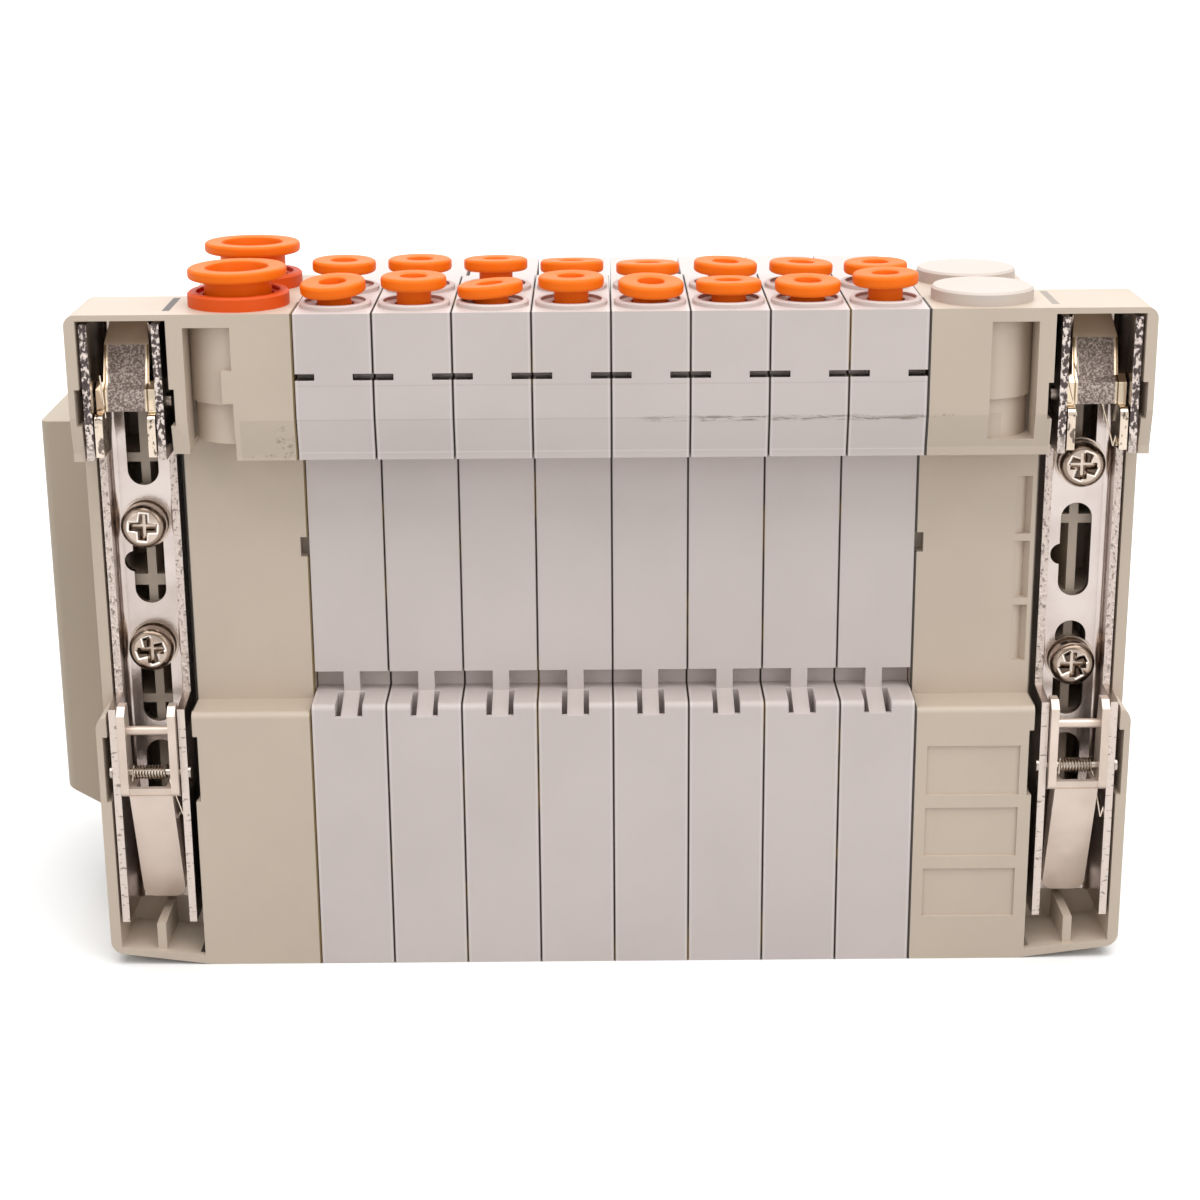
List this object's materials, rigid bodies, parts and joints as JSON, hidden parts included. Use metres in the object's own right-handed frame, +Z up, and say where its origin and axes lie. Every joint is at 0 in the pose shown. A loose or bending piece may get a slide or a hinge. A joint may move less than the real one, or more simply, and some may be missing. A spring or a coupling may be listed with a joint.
{
  "type": "pneumatic valve island",
  "caption": "Row of pneumatic valve manifold blocks between two end blocks, with push-in tube fittings on top and sprung brackets for a mounting rail.",
  "frame": {"origin": "on the base, at the middle of the row of blocks, under the plane where the rail seats", "axes": "+X along the row and the rail, -Y out of the rail side, +Z up towards the tube fittings"},
  "size_m": [0.1527, 0.0621, 0.1008],
  "materials": {
    "housing_grey": "satin moulded plastic",
    "end_beige": "satin moulded plastic",
    "ring_white": "satin moulded plastic",
    "valve_grey": "satin moulded plastic",
    "override_plain": "satin",
    "button_orange": "satin",
    "collar_red_orange": "satin",
    "plug_white": "satin",
    "collet_steel": "bright",
    "bracket_nickel": "bright nickel plate",
    "screw_nickel": "polished nickel plate",
    "spring_steel": "drawn wire",
    "clip_nickel": "worn nickel plate",
    "connector_beige": "matt, lightly textured",
    "connector_shell": "tin plate"
  },
  "bodies": {
    "base": {"left_end_block": "end_beige", "right_end_block": "end_beige", "manifold_block_1": "housing_grey", "manifold_block_2": "housing_grey", "manifold_block_3": "housing_grey", "manifold_block_4": "housing_grey", "manifold_block_5": "housing_grey", "manifold_block_6": "housing_grey", "manifold_block_7": "housing_grey", "manifold_block_8": "housing_grey", "valve_body_1": "valve_grey", "valve_body_2": "valve_grey", "valve_body_3": "valve_grey", "valve_body_4": "valve_grey", "valve_body_5": "valve_grey", "valve_body_6": "valve_grey", "valve_body_7": "valve_grey", "valve_body_8": "valve_grey", "port_cartridges": "ring_white", "supply_collars": "collar_red_orange", "port_plugs": "plug_white", "tube_collets": "collet_steel", "bracket_left": "bracket_nickel", "bracket_right": "bracket_nickel", "bracket_screws": "screw_nickel", "pivot_pins": "screw_nickel", "torsion_springs": "spring_steel", "valve_screws": "screw_nickel", "connector_housing": "connector_beige", "connector_insert": "connector_shell"},
    "release_button_front_1": {"release_button_front_1": "button_orange"},
    "release_button_front_2": {"release_button_front_2": "button_orange"},
    "release_button_front_3": {"release_button_front_3": "button_orange"},
    "release_button_front_4": {"release_button_front_4": "button_orange"},
    "release_button_front_5": {"release_button_front_5": "button_orange"},
    "release_button_front_6": {"release_button_front_6": "button_orange"},
    "release_button_front_7": {"release_button_front_7": "button_orange"},
    "release_button_front_8": {"release_button_front_8": "button_orange"},
    "release_button_back_1": {"release_button_back_1": "button_orange"},
    "release_button_back_2": {"release_button_back_2": "button_orange"},
    "release_button_back_3": {"release_button_back_3": "button_orange"},
    "release_button_back_4": {"release_button_back_4": "button_orange"},
    "release_button_back_5": {"release_button_back_5": "button_orange"},
    "release_button_back_6": {"release_button_back_6": "button_orange"},
    "release_button_back_7": {"release_button_back_7": "button_orange"},
    "release_button_back_8": {"release_button_back_8": "button_orange"},
    "supply_button": {"supply_button": "button_orange"},
    "exhaust_button": {"exhaust_button": "button_orange"},
    "manual_override_1": {"manual_override_1": "override_plain"},
    "manual_override_2": {"manual_override_2": "override_plain"},
    "manual_override_3": {"manual_override_3": "override_plain"},
    "manual_override_4": {"manual_override_4": "override_plain"},
    "manual_override_5": {"manual_override_5": "override_plain"},
    "manual_override_6": {"manual_override_6": "override_plain"},
    "manual_override_7": {"manual_override_7": "override_plain"},
    "manual_override_8": {"manual_override_8": "override_plain"},
    "rail_clip_left": {"rail_clip_left": "clip_nickel"},
    "rail_latch_left": {"rail_latch_left": "clip_nickel"},
    "rail_clip_right": {"rail_clip_right": "clip_nickel"},
    "rail_latch_right": {"rail_latch_right": "clip_nickel"}
  },
  "joints": [
    {"name": "release_button_front_1_slide", "type": "slide", "parent": "base", "child": "release_button_front_1", "axis": [-0.0523, -0.087, 0.9948], "range_m": [-0.00057, 0.00163]},
    {"name": "release_button_front_2_slide", "type": "slide", "parent": "base", "child": "release_button_front_2", "axis": [0.0087, -0.0087, 0.9999], "range_m": [-0.0015, 0.0007]},
    {"name": "release_button_front_3_slide", "type": "slide", "parent": "base", "child": "release_button_front_3", "axis": [-0.0872, 0.0174, 0.996], "range_m": [-0.00012, 0.00208]},
    {"name": "release_button_front_4_slide", "type": "slide", "parent": "base", "child": "release_button_front_4", "axis": [0, -0.0087, 1], "range_m": [-0.00136, 0.00084]},
    {"name": "release_button_front_5_slide", "type": "slide", "parent": "base", "child": "release_button_front_5", "axis": [0.0349, -0.0871, 0.9956], "range_m": [-0.0003, 0.0019]},
    {"name": "release_button_front_6_slide", "type": "slide", "parent": "base", "child": "release_button_front_6", "axis": [0, 0.0349, 0.9994], "range_m": [-0.0005, 0.0017]},
    {"name": "release_button_front_7_slide", "type": "slide", "parent": "base", "child": "release_button_front_7", "axis": [0.0087, -0.0436, 0.999], "range_m": [-0.00041, 0.00179]},
    {"name": "release_button_front_8_slide", "type": "slide", "parent": "base", "child": "release_button_front_8", "axis": [-0.0262, -0.0087, 0.9996], "range_m": [-0.00138, 0.00082]},
    {"name": "release_button_back_1_slide", "type": "slide", "parent": "base", "child": "release_button_back_1", "axis": [0.0175, -0.0087, 0.9998], "range_m": [-0.00157, 0.00063]},
    {"name": "release_button_back_2_slide", "type": "slide", "parent": "base", "child": "release_button_back_2", "axis": [0.0087, 0.0087, 0.9999], "range_m": [-0.00175, 0.00045]},
    {"name": "release_button_back_3_slide", "type": "slide", "parent": "base", "child": "release_button_back_3", "axis": [0, 0.0523, 0.9986], "range_m": [-0.00148, 0.00072]},
    {"name": "release_button_back_4_slide", "type": "slide", "parent": "base", "child": "release_button_back_4", "axis": [0, 0.0785, 0.9969], "range_m": [-0.00102, 0.00118]},
    {"name": "release_button_back_5_slide", "type": "slide", "parent": "base", "child": "release_button_back_5", "axis": [0, 0.0698, 0.9976], "range_m": [-0.0007, 0.0015]},
    {"name": "release_button_back_6_slide", "type": "slide", "parent": "base", "child": "release_button_back_6", "axis": [0.0523, -0.0087, 0.9986], "range_m": [-0.00092, 0.00128]},
    {"name": "release_button_back_7_slide", "type": "slide", "parent": "base", "child": "release_button_back_7", "axis": [0.0436, 0.0174, 0.9989], "range_m": [-0.00075, 0.00145]},
    {"name": "release_button_back_8_slide", "type": "slide", "parent": "base", "child": "release_button_back_8", "axis": [-0.0087, 0, 1], "range_m": [-0.00086, 0.00134]},
    {"name": "supply_button_slide", "type": "slide", "parent": "base", "child": "supply_button", "axis": [-0.0087, -0.0087, 0.9999], "range_m": [-0.00152, 0.00108]},
    {"name": "exhaust_button_slide", "type": "slide", "parent": "base", "child": "exhaust_button", "axis": [0.0087, 0.0087, 0.9999], "range_m": [-0.00217, 0.00043]},
    {"name": "manual_override_1_push", "type": "slide", "parent": "base", "child": "manual_override_1", "axis": [0, -1, 0], "range_m": [0, 0.001], "stiffness_N_per_m": 100, "springref_m": -0.003},
    {"name": "manual_override_2_push", "type": "slide", "parent": "base", "child": "manual_override_2", "axis": [0, -1, 0], "range_m": [0, 0.001], "stiffness_N_per_m": 100, "springref_m": -0.003},
    {"name": "manual_override_3_push", "type": "slide", "parent": "base", "child": "manual_override_3", "axis": [0, -1, 0], "range_m": [0, 0.001], "stiffness_N_per_m": 100, "springref_m": -0.003},
    {"name": "manual_override_4_push", "type": "slide", "parent": "base", "child": "manual_override_4", "axis": [0, -1, 0], "range_m": [0, 0.001], "stiffness_N_per_m": 100, "springref_m": -0.003},
    {"name": "manual_override_5_push", "type": "slide", "parent": "base", "child": "manual_override_5", "axis": [0, -1, 0], "range_m": [0, 0.001], "stiffness_N_per_m": 100, "springref_m": -0.003},
    {"name": "manual_override_6_push", "type": "slide", "parent": "base", "child": "manual_override_6", "axis": [0, -1, 0], "range_m": [0, 0.001], "stiffness_N_per_m": 100, "springref_m": -0.003},
    {"name": "manual_override_7_push", "type": "slide", "parent": "base", "child": "manual_override_7", "axis": [0, -1, 0], "range_m": [0, 0.001], "stiffness_N_per_m": 100, "springref_m": -0.003},
    {"name": "manual_override_8_push", "type": "slide", "parent": "base", "child": "manual_override_8", "axis": [0, -1, 0], "range_m": [0, 0.001], "stiffness_N_per_m": 100, "springref_m": -0.003},
    {"name": "rail_clip_left_pivot", "type": "hinge", "parent": "base", "child": "rail_clip_left", "pos_m": [-0.0648, -0.0026, 0.0819], "axis": [-1, 0, 0], "range_deg": [0, 10], "stiffness_Nm_per_rad": 0.02, "springref_deg": -28.65},
    {"name": "rail_latch_left_pivot", "type": "hinge", "parent": "base", "child": "rail_latch_left", "pos_m": [-0.0648, -0.0052, 0.0293], "axis": [1, 0, 0], "range_deg": [0, 6], "stiffness_Nm_per_rad": 0.02, "springref_deg": -28.65},
    {"name": "rail_clip_right_pivot", "type": "hinge", "parent": "base", "child": "rail_clip_right", "pos_m": [0.0648, -0.0026, 0.0819], "axis": [-1, 0, 0], "range_deg": [0, 10], "stiffness_Nm_per_rad": 0.02, "springref_deg": -28.65},
    {"name": "rail_latch_right_pivot", "type": "hinge", "parent": "base", "child": "rail_latch_right", "pos_m": [0.0648, -0.0052, 0.0293], "axis": [1, 0, 0], "range_deg": [0, 6], "stiffness_Nm_per_rad": 0.02, "springref_deg": -28.65}
  ]
}
